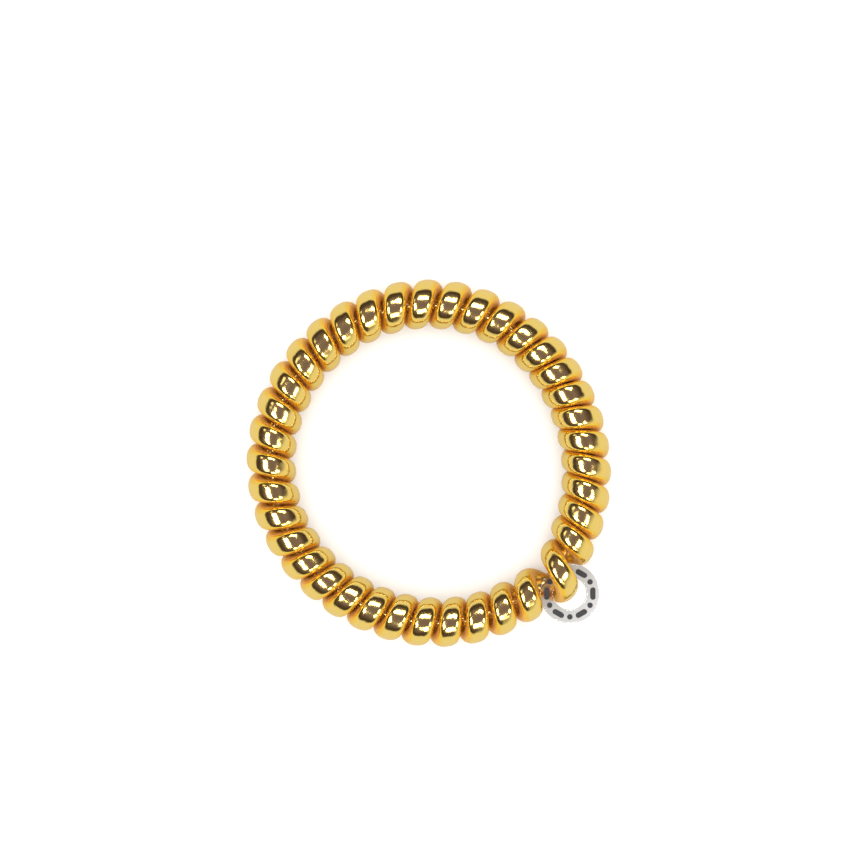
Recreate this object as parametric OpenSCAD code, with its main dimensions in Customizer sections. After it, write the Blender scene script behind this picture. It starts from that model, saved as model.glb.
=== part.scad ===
// A spiral hair tie lying flat: one endless coiled wire, with a clear ring threaded on one of its turns.
// Millimetres and degrees. +Z is up, out of the loop's plane, and the tie rests on Z = 0.

/* [Coil] */
// Width of the whole tie, across the outside of the coil
tie_d = 50; // [49.5:0.5:56]
// Outside diameter of the coil that the wire is wound in
coil_d = 6.74; // [6.6:0.02:6.9]
// Thickness of the wire, measured out from the coil's own middle
wire_t = 2.6; // [2.4:0.05:2.65]
// Width of the wire along the loop, on the outside of the loop
wire_w = 3.2; // [2.8:0.05:3.25]
// Width of the wire along the loop, on the inside of the loop
wire_w_in = 2.88; // [2.6:0.02:2.92]
// How full the wire's section is: 2 is an ellipse, and more is closer to a rounded rectangle
full = 2.3; // [2:0.05:2.4]
// Turns in the whole loop
turns = 37; // [30:1:37]

/* [Shape of the loop] */
// How far the loop is drawn out along its long axis
oval = 0.36; // [0.3:0.02:0.5]
// Direction of the long axis
oval_at = 127; // [120:1:150]
// How far the loop bulges at three places, which leaves it slightly egg-shaped
egg = 0.22; // [0.1:0.02:0.4]
// Direction of the first bulge
egg_at = 314; // [300:1:330]

/* [Clear ring] */
// Outside diameter of the clear ring
ring_d = 8.2; // [7.8:0.05:8.25]
// Diameter of the hole that the wire runs through
ring_hole_d = 4.5; // [4.5:0.02:4.7]
// Thickness of the clear ring
ring_t = 0.6; // [0.4:0.05:0.65]
// Chamfer round the edges of the clear ring
ring_chamfer = 0.1; // [0.05:0.01:0.15]
// Direction from the loop's middle to the turn that holds the ring
ring_at = 317; // [310:1:320]
// How far the ring's centre lies outside the wire that it is threaded on
ring_out = 0.64; // [0.62:0.01:0.66]
// How far the ring's centre lies along the loop from that wire
ring_along = 0.12; // [0.1:0.01:0.16]
// How far the ring's centre lies above the middle of its turn
ring_up = 0.1; // [0.08:0.01:0.12]

/* [Turn that holds the ring] */
// How far the ring's turn stands out from the loop
turn_out = 0.72; // [0.7:0.01:0.8]
// How much wider that turn is, measured out from its own middle
turn_wide = 0.38; // [0.36:0.01:0.46]
// How much taller that turn is, measured up and down from its own middle
turn_tall = 0.36; // [0.34:0.01:0.44]
// How far that turn is lifted, which keeps its underside level with the others
turn_lift = 0.33; // [0.31:0.01:0.37]
// How many degrees the turns on both sides of the ring are pushed apart
spread = 6.4; // [6.3:0.1:6.8]
// How many degrees the nine turns past the ring's neighbour are pushed together
squeeze = 5.7; // [3:0.1:5.9]

/* [Detail] */
// Sections of the wire in each turn
sections = 12; // [10:1:13]
// Sides of the wire's section
sides = 12; // [10:1:12]

/* [Hidden] */

// Radius of the helix that the wire's middle line follows, and of the circle that the helix is wound on
helix_r = (coil_d - wire_t) / 2;
loop_r = (tie_d - coil_d) / 2;

// Places along the coil are counted in turns from the outermost point of the ring's turn.
// The turns are spread about that point, and the squeeze starts at the next turn.
spread_from = -0.92;
spread_turns = 1.84;
squeeze_from = 1;
squeeze_turns = 9;

// Over how many turns the ring's turn dies away into the coil on both sides, and the section turns full again
out_reach = 0.7;
wide_reach = 0.45;
tall_reach = 0.6;
full_reach = 1.8;

// A straight step and a smooth step from 0 to 1, and a smooth hump of height 1
function ramp(x) = max(0, min(1, x));
function rise(x) = let (y = ramp(x)) y * y * (3 - 2 * y);
function hump(u, reach) = exp(-pow(u / reach, 2));

// Direction from the loop's middle at turn u. All turns together still come to 360 degrees.
degrees_per_turn = (360 - spread + squeeze) / turns;
function direction(u) = ring_at + degrees_per_turn * u
    + spread * (rise((u - spread_from) / spread_turns) - rise(-spread_from / spread_turns))
    - squeeze * ramp((u - squeeze_from) / squeeze_turns);

// Radius of the loop itself, which is slightly oval and egg-shaped
function loop_radius(angle) = loop_r + oval * cos(2 * (angle - oval_at)) + egg * cos(3 * (angle - egg_at));

// Middle line of the wire at turn u: out at whole turns, up a quarter of a turn later
function middle(u) = let (
        angle = direction(u),
        r = loop_radius(angle) + turn_out * hump(u, out_reach)
            + (helix_r + turn_wide * hump(u, wide_reach)) * cos(360 * u),
        z = turn_lift * hump(u, tall_reach)
            + (helix_r + turn_tall * hump(u, tall_reach)) * sin(360 * u)
    ) [r * cos(angle), r * sin(angle), z];

function unit(v) = v / norm(v);

// How wide the wire is at turn u, and how full its section is, which is a plain ellipse near the ring
function width(u) = (wire_w + wire_w_in) / 2 + (wire_w - wire_w_in) / 2 * cos(360 * u);
function fullness(u) = full + (2 - full) * hump(u, full_reach);

// How far the wire's surface at turn u lies from the middle line, at angle a of its section
function reach(u, a) = let (n = fullness(u))
    pow(pow(abs(cos(a)) / (wire_t / 2), n) + pow(abs(sin(a)) / (width(u) / 2), n), -1 / n);

// One section of the wire: a ring of points square to the middle line, counted from the coil's outside
step = 0.002;
function section(u) = let (
        along = unit(middle(u + step) - middle(u - step)),
        angle = direction(u),
        away = [cos(360 * u) * cos(angle), cos(360 * u) * sin(angle), sin(360 * u)],
        out = unit(away - (away * along) * along),
        side = cross(along, out)
    ) [for (j = [0:sides - 1]) let (a = 360 * j / sides)
        middle(u) + reach(u, a) * (cos(a) * out + sin(a) * side)];

// The whole coil, from half the loop before the ring to half the loop after it
section_count = turns * sections;
wire_points = [for (i = [0:section_count - 1]) each section(i / sections - turns / 2)];

// Two triangles for each patch between neighbouring sections. The last section joins the first.
function point_at(i, j) = (i % section_count) * sides + j % sides;
wire_faces = [for (i = [0:section_count - 1], j = [0:sides - 1])
    each [[point_at(i, j), point_at(i + 1, j), point_at(i, j + 1)],
          [point_at(i, j + 1), point_at(i + 1, j), point_at(i + 1, j + 1)]]];

// The origin: the middle of the coil's own box, at its lowest point
lowest = [for (axis = [0:2]) min([for (p = wire_points) p[axis]])];
highest = [for (axis = [0:2]) max([for (p = wire_points) p[axis]])];
to_origin = [-(lowest[0] + highest[0]) / 2, -(lowest[1] + highest[1]) / 2, -lowest[2]];

module spiral_coil() {
    color("goldenrod")
        translate(to_origin)
            polyhedron(points = wire_points, faces = wire_faces, convexity = 10);
}

// Half of the clear ring's section, with its edges chamfered
module ring_section() {
    inner = ring_hole_d / 2;
    outer = ring_d / 2;
    top = ring_t / 2;
    polygon([
        [inner, -top + ring_chamfer], [inner + ring_chamfer, -top],
        [outer - ring_chamfer, -top], [outer, -top + ring_chamfer],
        [outer, top - ring_chamfer], [outer - ring_chamfer, top],
        [inner + ring_chamfer, top], [inner, top - ring_chamfer]
    ]);
}

// The wire's outermost point runs through the hole, and the ring lies level between the turns
module clear_ring() {
    outward = [cos(ring_at), sin(ring_at), 0];
    onward = [-sin(ring_at), cos(ring_at), 0];
    color([0.9, 0.93, 0.95, 0.5])
        translate(to_origin + middle(0) + ring_out * outward + ring_along * onward + [0, 0, ring_up])
            rotate_extrude($fn = 96) ring_section();
}

spiral_coil();
clear_ring();
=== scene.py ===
import math

import bpy
import numpy as np
from mathutils import Matrix, Vector


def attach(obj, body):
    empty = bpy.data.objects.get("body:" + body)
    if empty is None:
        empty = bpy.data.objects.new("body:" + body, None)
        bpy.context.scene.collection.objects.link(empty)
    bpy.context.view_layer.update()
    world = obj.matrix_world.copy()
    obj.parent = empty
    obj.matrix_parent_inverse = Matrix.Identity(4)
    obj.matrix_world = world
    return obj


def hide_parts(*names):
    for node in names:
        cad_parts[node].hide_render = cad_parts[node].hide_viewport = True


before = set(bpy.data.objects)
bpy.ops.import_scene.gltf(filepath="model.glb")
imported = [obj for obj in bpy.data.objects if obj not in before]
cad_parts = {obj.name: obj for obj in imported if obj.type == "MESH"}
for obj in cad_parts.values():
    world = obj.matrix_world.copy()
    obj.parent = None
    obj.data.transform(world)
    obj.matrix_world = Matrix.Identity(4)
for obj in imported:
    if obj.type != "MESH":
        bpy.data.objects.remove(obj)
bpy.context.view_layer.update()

# A spiral hair tie lying flat. Blender works in metres. Sizes here are millimetres and degrees,
# and places along the coil are counted in turns from the outermost point of the ring's turn.
MM = 0.001
DEG = math.pi / 180

# ---------------------------------------------------------------- sizes, as in part.scad
# The tie and its coil; the wire's width outside and inside the loop, and its thickness
TIE_D, COIL_D, TURNS = 50, 6.74, 37
WIRE_W, WIRE_W_IN, WIRE_T = 3.2, 2.88, 2.6
# The loop's oval and egg shape
OVAL, OVAL_AT, EGG, EGG_AT = 0.36, 127, 0.22, 314
# The turn that holds the ring, and over how many turns it dies away
TURN_OUT, TURN_WIDE, TURN_TALL, TURN_LIFT = 0.72, 0.38, 0.36, 0.33
OUT_REACH, WIDE_REACH, TALL_REACH = 0.7, 0.45, 0.6
# How the turns are pushed apart at the ring, and together past it
SPREAD, SPREAD_FROM, SPREAD_TURNS = 6.4, -0.92, 1.84
SQUEEZE, SQUEEZE_FROM, SQUEEZE_TURNS = 5.7, 1, 9
# The clear ring
RING_D, RING_HOLE_D, RING_T = 8.2, 4.5, 0.6
RING_AT, RING_OUT, RING_ALONG, RING_UP = 317, 0.64, 0.12, 0.1
# How full the wire's section is: 2 is an ellipse, and more is closer to a rounded rectangle
FULL, FULL_AT_RING, FULL_REACH = 2.3, 2, 1.8
# Half the turns between the two points that give the wire's direction
STEP = 0.002
# Sections in a turn and sides of a section in part.scad, which place the origin
CAD_SECTIONS, CAD_SIDES = 12, 12

HELIX_R = (COIL_D - WIRE_T) / 2
LOOP_R = (TIE_D - COIL_D) / 2

# ---------------------------------------------------------------- sizes of this scene alone
# How full the section is at the coil's top and bottom, which keeps the same outermost points
FULL_TOP, FULL_TOP_AT_RING = 3.9, 3
# Sections in a turn and sides of a section of the smooth wire
SECTIONS, SIDES = 68, 36
# Rounding of the ring's edges, steps in each rounded corner, and segments round the ring
RING_CORNER, CORNER_STEPS, RING_SEGMENTS = 0.16, 5, 144
# Marks on the ring: how many of each kind, a dash's length without its round ends, the width of
# all marks and the sides of their outlines, and how far they reach below and above the ring's face
PRINT_REPEATS, PRINT_DASH, PRINT_W, PRINT_SIDES = 6, 0.95, 0.76, 24
PRINT_SINK, PRINT_RISE = 0.01, 0.015
# Half the floor's width
FLOOR_HALF = 3000


# ---------------------------------------------------------------- the coil's shape
def ramp(x):
    return np.clip(x, 0, 1)


def rise(x):
    y = ramp(x)
    return y * y * (3 - 2 * y)


def hump(u, reach):
    return np.exp(-((u / reach) ** 2))


def unit(v):
    return v / np.linalg.norm(v, axis=-1, keepdims=True)


def direction(u):
    """Direction from the loop's middle at turn u, in degrees."""
    return (
        RING_AT
        + (360 - SPREAD + SQUEEZE) / TURNS * u
        + SPREAD * (rise((u - SPREAD_FROM) / SPREAD_TURNS) - rise(-SPREAD_FROM / SPREAD_TURNS))
        - SQUEEZE * ramp((u - SQUEEZE_FROM) / SQUEEZE_TURNS)
    )


def middle(u):
    """Middle line of the wire at turn u: out at whole turns, up a quarter of a turn later."""
    angle, turn = direction(u), 2 * np.pi * u
    loop = (LOOP_R + OVAL * np.cos(2 * (angle - OVAL_AT) * DEG)
            + EGG * np.cos(3 * (angle - EGG_AT) * DEG))
    wide = HELIX_R + TURN_WIDE * hump(u, WIDE_REACH)
    tall = HELIX_R + TURN_TALL * hump(u, TALL_REACH)
    r = loop + TURN_OUT * hump(u, OUT_REACH) + wide * np.cos(turn)
    z = TURN_LIFT * hump(u, TALL_REACH) + tall * np.sin(turn)
    return np.stack([r * np.cos(angle * DEG), r * np.sin(angle * DEG), z], -1)


def wire_points(sections, sides):
    """Points of the wire's surface, a row for each section, counted from the coil's outside."""
    u = np.arange(TURNS * sections) / sections - TURNS / 2
    along = unit(middle(u + STEP) - middle(u - STEP))
    angle, turn = direction(u) * DEG, 2 * np.pi * u
    away = np.stack([np.cos(turn) * np.cos(angle), np.cos(turn) * np.sin(angle), np.sin(turn)], -1)
    out = unit(away - (away * along).sum(-1, keepdims=True) * along)
    side = np.cross(along, out)

    full = FULL + (FULL_AT_RING - FULL) * hump(u, FULL_REACH)
    full_top = FULL_TOP + (FULL_TOP_AT_RING - FULL_TOP) * hump(u, FULL_REACH)
    power = (full + (full_top - full) * np.sin(turn) ** 2)[:, None]
    half_w = ((WIRE_W + WIRE_W_IN) / 4 + (WIRE_W - WIRE_W_IN) / 4 * np.cos(turn))[:, None]
    a = 2 * np.pi * np.arange(sides) / sides
    c, s = np.cos(a)[None], np.sin(a)[None]
    reach = (np.abs(c / (WIRE_T / 2)) ** power + np.abs(s / half_w) ** power) ** (-1 / power)
    return (middle(u)[:, None] + (reach * c)[..., None] * out[:, None]
            + (reach * s)[..., None] * side[:, None])


def place_of_origin():
    """What moves the coil so that the middle of its box is over the origin, and its lowest point at 0."""
    points = wire_points(CAD_SECTIONS, CAD_SIDES).reshape(-1, 3)
    low, high = points.min(0), points.max(0)
    return np.array([-(low[0] + high[0]) / 2, -(low[1] + high[1]) / 2, -low[2]])


TO_ORIGIN = place_of_origin()


# ---------------------------------------------------------------- meshes
def new_mesh(name, points, faces, uvs=None, smooth=True):
    """A new object with a mesh from points in millimetres."""
    mesh = bpy.data.meshes.new(name)
    mesh.from_pydata((np.asarray(points) * MM).tolist(), [], [tuple(face) for face in faces])
    if uvs is not None:
        mesh.uv_layers.new(name="wire").data.foreach_set("uv", uvs.ravel())
    mesh.polygons.foreach_set("use_smooth", [smooth] * len(mesh.polygons))
    mesh.update()
    obj = bpy.data.objects.new(name, mesh)
    bpy.context.scene.collection.objects.link(obj)
    return obj


def grid_faces(rows, columns):
    """Quads between neighbouring rows and columns of a grid that closes both ways."""
    i, j = np.meshgrid(np.arange(rows), np.arange(columns), indexing="ij")
    i2, j2 = (i + 1) % rows, (j + 1) % columns
    quads = [i * columns + j, i2 * columns + j, i2 * columns + j2, i * columns + j2]
    return np.stack(quads, -1).reshape(-1, 4)


def wire_mesh(name, points):
    """The wire, whose UVs count the turns along it and the way round its section."""
    rows = len(points)
    i, j = np.meshgrid(np.arange(rows), np.arange(SIDES), indexing="ij")
    s, t = i / SECTIONS, j / SIDES
    ds, dt = 1 / SECTIONS, 1 / SIDES
    # The faces and their corners are reversed, so that they look out of the wire
    corners = [(s, t + dt), (s + ds, t + dt), (s + ds, t), (s, t)]
    uvs = np.stack([np.stack(corner, -1) for corner in corners], 2)
    return new_mesh(name, points.reshape(-1, 3), grid_faces(rows, SIDES)[:, ::-1], uvs)


def lathe(name, profile, segments):
    """Turns a closed profile of (radius, height) points round the Z axis."""
    a = 2 * np.pi * np.arange(segments) / segments
    r, z = profile.T
    points = [np.outer(np.cos(a), r), np.outer(np.sin(a), r), np.outer(np.ones(segments), z)]
    return new_mesh(name, np.stack(points, -1).reshape(-1, 3), grid_faces(segments, len(profile)))


def rounded_box(inner, outer, thick, corner, steps):
    """Section of a flat ring with round edges, counted anticlockwise."""
    left, right = inner + corner, outer - corner
    low, high = -thick / 2 + corner, thick / 2 - corner
    points = []
    for r, z, start in ((right, low, -90), (right, high, 0), (left, high, 90), (left, low, 180)):
        for k in range(steps + 1):
            a = (start + 90 * k / steps) * DEG
            points.append((r + corner * math.cos(a), z + corner * math.sin(a)))
    return np.array(points)


def marks(name, repeats, radius, dash, wide, low, high, sides):
    """Plain dashes and dots in turn round the ring, as thin raised ink."""
    a = (np.arange(sides) + 0.5) * 2 * np.pi / sides
    points, faces = [], []
    for k in range(2 * repeats):
        length = dash if k % 2 == 0 else 0
        x = np.sign(np.cos(a)) * length / 2 + wide / 2 * np.cos(a)
        at, r = np.pi * k / repeats + x / radius, radius - wide / 2 * np.sin(a)
        under = len(points)
        over = under + sides
        for z in (low, high):
            points += [(px, py, z) for px, py in zip(r * np.cos(at), r * np.sin(at))]
        faces.append([under + m for m in reversed(range(sides))])
        faces.append([over + m for m in range(sides)])
        for m in range(sides):
            following = (m + 1) % sides
            faces.append([under + m, under + following, over + following, over + m])
    return new_mesh(name, points, faces, smooth=False)


def ring_place():
    """The ring's middle, in millimetres: out from its turn's outermost point, along the loop and up."""
    at = RING_AT * DEG
    outward = np.array([math.cos(at), math.sin(at), 0])
    onward = np.array([-math.sin(at), math.cos(at), 0])
    return (TO_ORIGIN + middle(np.array(0.0)) + RING_OUT * outward + RING_ALONG * onward
            + [0, 0, RING_UP])


wire = wire_points(SECTIONS, SIDES) + TO_ORIGIN
coil = wire_mesh("coil_wire", wire)
ring = lathe("ring_band", rounded_box(RING_HOLE_D / 2, RING_D / 2, RING_T, RING_CORNER, CORNER_STEPS),
             RING_SEGMENTS)
ring_print = marks("ring_print", PRINT_REPEATS, (RING_D + RING_HOLE_D) / 4, PRINT_DASH, PRINT_W,
                   RING_T / 2 - PRINT_SINK, RING_T / 2 + PRINT_RISE, PRINT_SIDES)
ring.location = ring_print.location = Vector(ring_place() * MM)


# ---------------------------------------------------------------- nodes
class Tree:
    """Adds nodes to a material or the world. A colour is a tuple of three numbers or a socket."""

    def __init__(self, owner):
        owner.use_nodes = True
        self.nodes, self.link = owner.node_tree.nodes, owner.node_tree.links.new

    def math(self, operation, first, second=None):
        node = self.nodes.new("ShaderNodeMath")
        node.operation = operation
        self.link(first, node.inputs[0])
        if isinstance(second, float):
            node.inputs[1].default_value = second
        elif second is not None:
            self.link(second, node.inputs[1])
        return node.outputs[0]

    def smooth_range(self, value, low, high, to_low=0.0, to_high=1.0):
        """A smooth step from to_low, where the value is low, to to_high, where it is high."""
        node = self.nodes.new("ShaderNodeMapRange")
        node.interpolation_type = "SMOOTHSTEP"
        self.link(value, node.inputs["Value"])
        for name, number in (("From Min", low), ("From Max", high),
                             ("To Min", to_low), ("To Max", to_high)):
            node.inputs[name].default_value = number
        return node.outputs["Result"]

    def mix(self, factor, first, second):
        node = self.nodes.new("ShaderNodeMix")
        node.data_type = "RGBA"
        self.link(factor, node.inputs["Factor"])
        for socket, colour in ((node.inputs[6], first), (node.inputs[7], second)):
            if isinstance(colour, tuple):
                socket.default_value = (*colour, 1)
            else:
                self.link(colour, socket)
        return node.outputs[2]

    def split(self, vector):
        node = self.nodes.new("ShaderNodeSeparateXYZ")
        self.link(vector, node.inputs[0])
        return node.outputs

    def facing(self):
        """0 where a surface faces the eye, and 1 at its outline."""
        node = self.nodes.new("ShaderNodeLayerWeight")
        node.inputs["Blend"].default_value = 0.5
        return node.outputs["Facing"]

    def light_path(self, kind):
        return self.nodes.new("ShaderNodeLightPath").outputs[kind]


def new_material(obj, name):
    """Gives the object a new material, and returns its tree and its shader's sockets."""
    material = bpy.data.materials.new(name)
    obj.data.materials.append(material)
    tree = Tree(material)
    return tree, tree.nodes["Principled BSDF"].inputs


# ---------------------------------------------------------------- materials
# The gold's colour on each turn's crown, the amber of a painted reflection beside it, and a painted
# shade's brown
GOLD, PAINTED_BOUNCE_AMBER, PAINTED_SHADE_GOLD = (0.83, 0.60, 0.16), (0.88, 0.53, 0.035), (0.78, 0.43, 0.10)
# Where the painted reflection's amber and the grooves' painted shade set in: the sine of the angle round
# the wire's section, which is 0 on the coil's outside and 1 where the wire faces the next turn
BOUNCE_FROM, BOUNCE_TO = 0.5, 0.86
GROOVE_FROM, GROOVE_TO = 0.78, 0.97
# The same angle's cosine where the side that faces the coil's middle sets in, and how much painted shade
# it gets
INNER_FROM, INNER_TO, INNER_PAINTED_SHADE = -0.1, -0.6, 0.5
# The facing weight where the painted shade along the outline sets in, and how strong it is
RIM_FROM, RIM_TO, RIM_PAINTED_SHADE = 0.6, 0.95, 0.8
# How metallic the gold is where bright and under the painted shade, and how rough on the crown and in the
# grooves
METAL, METAL_PAINTED_SHADE = 1.0, 0.45
ROUGH, ROUGH_GROOVE = 0.13, 0.24
# Faint waves in the gold: how many to the metre, their detail, and their height
WAVES, WAVES_DETAIL, WAVES_HIGH = 1100, 1.5, 0.03 * MM
# The clear plastic's colour, and a warmer painted reflection towards its outline
CLEAR, CLEAR_EDGE_REFLECTION, EDGE_FROM, EDGE_TO = (0.96, 0.96, 0.935), (0.93, 0.80, 0.70), 0.25, 0.8
CLEAR_ROUGH, CLEAR_IOR = 0.1, 1.45
INK, INK_ROUGH = (0.011, 0.009, 0.008), 0.6
# The floor's white where the camera sees it, and what it gives back as light
PAPER, PAPER_LIGHT = (0.95, 0.95, 0.95), (0.60, 0.60, 0.60)

tree, shader = new_material(coil, "gold_wire")
uv = tree.nodes.new("ShaderNodeUVMap")
uv.uv_map = "wire"
around = tree.math("MULTIPLY", tree.split(uv.outputs[0])["Y"], 2 * math.pi)
facing_next = tree.math("ABSOLUTE", tree.math("SINE", around))
# Amber painted beside each turn's crown, as a painted reflection of light bounced off the next turn
painted_bounce = tree.smooth_range(facing_next, BOUNCE_FROM, BOUNCE_TO)
# Painted shade and inter-reflection: a less metallic orange-brown in the grooves, on the side that faces
# the coil's middle, and along the outline
inner = tree.smooth_range(tree.math("COSINE", around), INNER_FROM, INNER_TO, 0.0, INNER_PAINTED_SHADE)
groove = tree.math("MAXIMUM", tree.smooth_range(facing_next, GROOVE_FROM, GROOVE_TO), inner)
rim = tree.smooth_range(tree.facing(), RIM_FROM, RIM_TO, 0.0, RIM_PAINTED_SHADE)
painted_shade = tree.math("MAXIMUM", groove, rim)
# The gold, the painted reflection's amber, and the painted shade's brown
tree.link(tree.mix(painted_shade, tree.mix(painted_bounce, GOLD, PAINTED_BOUNCE_AMBER), PAINTED_SHADE_GOLD), shader["Base Color"])
tree.link(tree.smooth_range(painted_shade, 0, 1, METAL, METAL_PAINTED_SHADE), shader["Metallic"])
tree.link(tree.smooth_range(groove, 0, 1, ROUGH, ROUGH_GROOVE), shader["Roughness"])
shader["Specular IOR Level"].default_value = 0.0
waves = tree.nodes.new("ShaderNodeTexNoise")
waves.inputs["Scale"].default_value = WAVES
waves.inputs["Detail"].default_value = WAVES_DETAIL
tree.link(tree.nodes.new("ShaderNodeTexCoord").outputs["Object"], waves.inputs["Vector"])
bump = tree.nodes.new("ShaderNodeBump")
bump.inputs["Strength"].default_value = 1.0
bump.inputs["Distance"].default_value = WAVES_HIGH
tree.link(waves.outputs["Fac"], bump.inputs["Height"])
tree.link(bump.outputs["Normal"], shader["Normal"])

tree, shader = new_material(ring, "clear_plastic")
# A warmer painted reflection towards the ring's outline, from the facing weight
edge_reflection = tree.smooth_range(tree.facing(), EDGE_FROM, EDGE_TO)
tree.link(tree.mix(edge_reflection, CLEAR, CLEAR_EDGE_REFLECTION), shader["Base Color"])
shader["Transmission Weight"].default_value = 1.0
shader["Roughness"].default_value = CLEAR_ROUGH
shader["IOR"].default_value = CLEAR_IOR

tree, shader = new_material(ring_print, "ring_ink")
shader["Base Color"].default_value = (*INK, 1)
shader["Roughness"].default_value = INK_ROUGH

# ---------------------------------------------------------------- how the pieces ride on the frame
for piece, node, slot in ((coil, "spiral_coil", "gold_wire"), (ring, "clear_ring", "clear_plastic")):
    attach(piece, "root")
    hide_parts(node)
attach(ring_print, "root")

# ---------------------------------------------------------------- floor
floor_z = wire[..., 2].min()
floor = new_mesh("floor", [(-FLOOR_HALF, -FLOOR_HALF, floor_z), (FLOOR_HALF, -FLOOR_HALF, floor_z),
                           (FLOOR_HALF, FLOOR_HALF, floor_z), (-FLOOR_HALF, FLOOR_HALF, floor_z)],
                 [(0, 1, 2, 3)], smooth=False)
tree, shader = new_material(floor, "paper")
tree.link(tree.mix(tree.light_path("Is Camera Ray"), PAPER_LIGHT, PAPER), shader["Base Color"])
shader["Roughness"].default_value = 1.0
shader["Specular IOR Level"].default_value = 0.0

# ---------------------------------------------------------------- studio
# The world that reflections show: white walls, and above them a dark roof that is lighter overhead.
# Angles from straight above where the walls end and the roof begins, and where it turns lighter
WALL_TOP, ROOF_FROM, ROOF_LIGHTER, ROOF_OVERHEAD = 74, 66, 60, 20
WALL, ROOF, OVERHEAD = (1, 1, 1), (0.051, 0.034, 0.046), (0.18, 0.145, 0.33)
# The roof gives way to the walls' white towards one direction, in degrees from +X: the cosines of
# the angle to that direction where this begins and is complete
OPEN_AT, OPEN_FROM, OPEN_TO = -32, 0.54, 0.90
# The plain white world that all other rays see, and that lights the scene
PLAIN_LIGHT = (1.7, 1.7, 1.7)

world = bpy.data.worlds.new("studio")
bpy.context.scene.world = world
tree = Tree(world)
tree.nodes.clear()
toward = tree.nodes.new("ShaderNodeTexCoord").outputs["Generated"]
height = tree.split(toward)["Z"]
opening = tree.nodes.new("ShaderNodeVectorMath")
opening.operation = "DOT_PRODUCT"
opening.inputs[1].default_value = (math.cos(OPEN_AT * DEG), math.sin(OPEN_AT * DEG), 0)
tree.link(toward, opening.inputs[0])
closed = tree.smooth_range(opening.outputs["Value"], OPEN_FROM, OPEN_TO, 1.0, 0.0)
above_wall = tree.smooth_range(height, math.cos(WALL_TOP * DEG), math.cos(ROOF_FROM * DEG))
overhead = tree.smooth_range(height, math.cos(ROOF_LIGHTER * DEG), math.cos(ROOF_OVERHEAD * DEG))
roof = tree.mix(overhead, ROOF, OVERHEAD)
reflected = tree.mix(tree.math("MULTIPLY", above_wall, closed), WALL, roof)
background = tree.nodes.new("ShaderNodeBackground")
tree.link(tree.mix(tree.light_path("Is Glossy Ray"), PLAIN_LIGHT, reflected), background.inputs["Color"])
output = tree.nodes.new("ShaderNodeOutputWorld")
tree.link(background.outputs[0], output.inputs["Surface"])

# Soft lights, which show as the bright spots on each turn. Each row has the light's name; where it
# stands, in degrees towards +X and +Y from straight above; the direction of its long side from +X;
# how long and how short it looks from the tie, in degrees; and how bright it is.
SOFTBOXES = (
    ("box_n", 7, 27, -17, 27, 15, 13),
    ("box_e", 29, -15, 62, 16, 13, 12),
    ("box_s", 7, -33, 12, 14, 14, 13),
    ("box_w", -23, -8, -72, 28, 15, 13),
    ("box_nw", -39, 22, 60, 13, 10, 1.7),
    ("box_se", 21, -40, 28, 13, 10, 1.7),
)
# How far they are from the tie, in metres
SOFTBOX_AWAY = 0.6


def softbox(name, toward_x, toward_y, turned, long, short, radiance):
    """An area light from a row of the table. Reflections show it, and it lights nothing matt."""
    lean = math.hypot(toward_x, toward_y)
    side = math.sin(lean * DEG) / lean
    away = Vector((toward_x * side, toward_y * side, math.cos(lean * DEG))).normalized()
    along = Vector((math.cos(turned * DEG), math.sin(turned * DEG), 0))
    along = (along - along.dot(away) * away).normalized()
    light = bpy.data.lights.new(name, "AREA")
    light.shape = "RECTANGLE"
    light.size = 2 * SOFTBOX_AWAY * math.tan(long / 2 * DEG)
    light.size_y = 2 * SOFTBOX_AWAY * math.tan(short / 2 * DEG)
    light.energy = radiance * math.pi * light.size * light.size_y
    lamp = bpy.data.objects.new(name, light)
    lamp.matrix_world = Matrix((along, away.cross(along), away)).transposed().to_4x4()
    lamp.location = away * SOFTBOX_AWAY
    lamp.visible_diffuse = False
    bpy.context.scene.collection.objects.link(lamp)


for row in SOFTBOXES:
    softbox(*row)

# ---------------------------------------------------------------- camera
# The point in the middle of the picture, level with the coil's middle, and how wide the picture is there
PICTURE_X, PICTURE_Y, PICTURE_Z, PICTURE_WIDE = -0.518 * MM, 5.207 * MM, 3.4 * MM, 116.19 * MM
LENS, SENSOR = 100, 36
NEAREST, FARTHEST = 0.01, 20

scene = bpy.context.scene
camera = bpy.data.cameras.new("camera")
camera.lens, camera.sensor_width = LENS, SENSOR
camera.clip_start, camera.clip_end = NEAREST, FARTHEST
eye = bpy.data.objects.new("camera", camera)
eye.location = (PICTURE_X, PICTURE_Y, PICTURE_Z + PICTURE_WIDE * LENS / SENSOR)
scene.collection.objects.link(eye)
scene.camera = eye
scene.view_settings.view_transform = "Standard"
